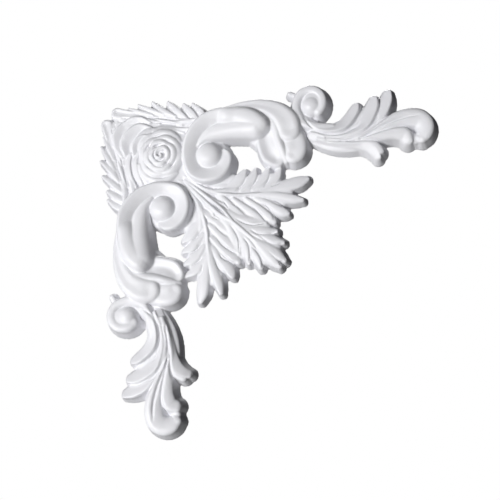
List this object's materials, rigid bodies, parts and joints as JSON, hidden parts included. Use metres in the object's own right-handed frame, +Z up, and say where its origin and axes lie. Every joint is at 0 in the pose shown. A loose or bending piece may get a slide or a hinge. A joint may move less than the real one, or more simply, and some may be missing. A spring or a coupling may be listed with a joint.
{
  "type": "corner moulding",
  "caption": "Cast relief ornament for the corner of a panel, ceiling or frame: a rose, scrolls and leafy tails along two legs, with a flat back for gluing",
  "frame": {"origin": "on the flat back, behind the middle of the rose in the corner", "axes": "+X along the right-hand leg, +Z up with the other leg running down along -Z, and +Y into the wall that the flat back is glued to"},
  "size_m": [0.3, 0.024, 0.3],
  "materials": {
    "primed_white": "cast white resin foam with a smooth satin primer"
  },
  "bodies": {
    "root": {"corner_moulding": "primed_white"}
  },
  "joints": []
}
